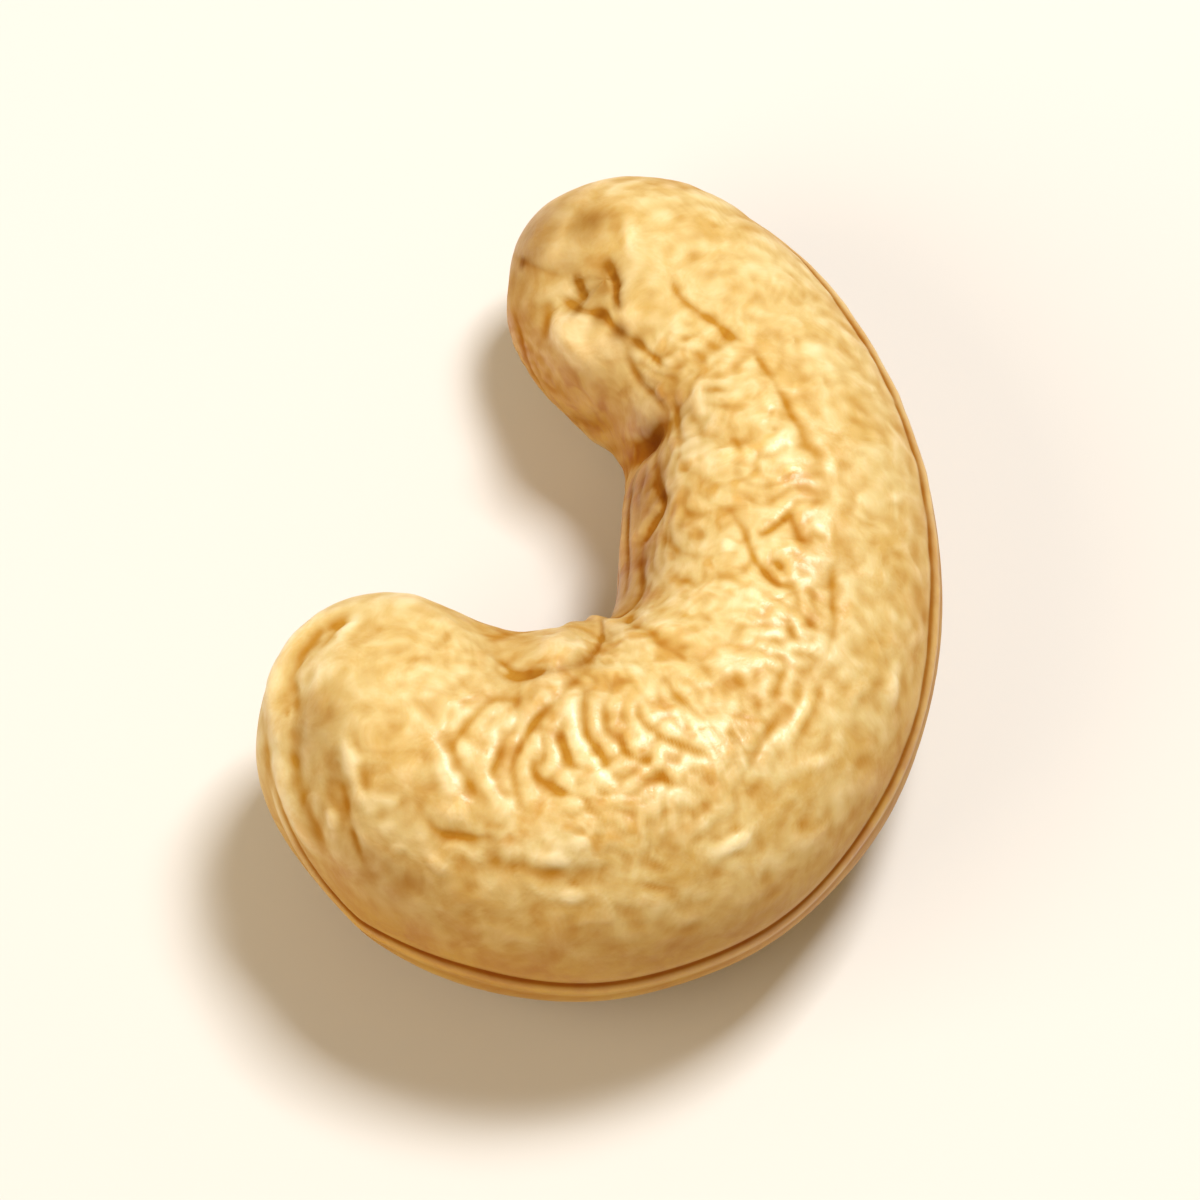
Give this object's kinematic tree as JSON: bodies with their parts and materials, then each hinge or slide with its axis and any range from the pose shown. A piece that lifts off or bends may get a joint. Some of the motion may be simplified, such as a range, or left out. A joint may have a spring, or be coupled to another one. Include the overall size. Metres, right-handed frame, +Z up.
{
  "type": "cashew nut",
  "caption": "Whole curved cashew kernel lying on its flank, with its seam, pitted slim tip, wrinkled flanks and broad rounded lobe.",
  "frame": {"origin": "on the surface the kernel lies on, under the middle of its bounding box", "axes": "+Z up through the flank it lies on, +Y along its longest reach towards the slim tip, +X towards the outside of its back, with the open side of the bend facing -X"},
  "size_m": [0.0214, 0.0282, 0.0111],
  "materials": {
    "kernel": "smooth pale ivory nut flesh, faintly oily"
  },
  "bodies": {
    "root": {"kernel": "kernel"}
  },
  "joints": []
}
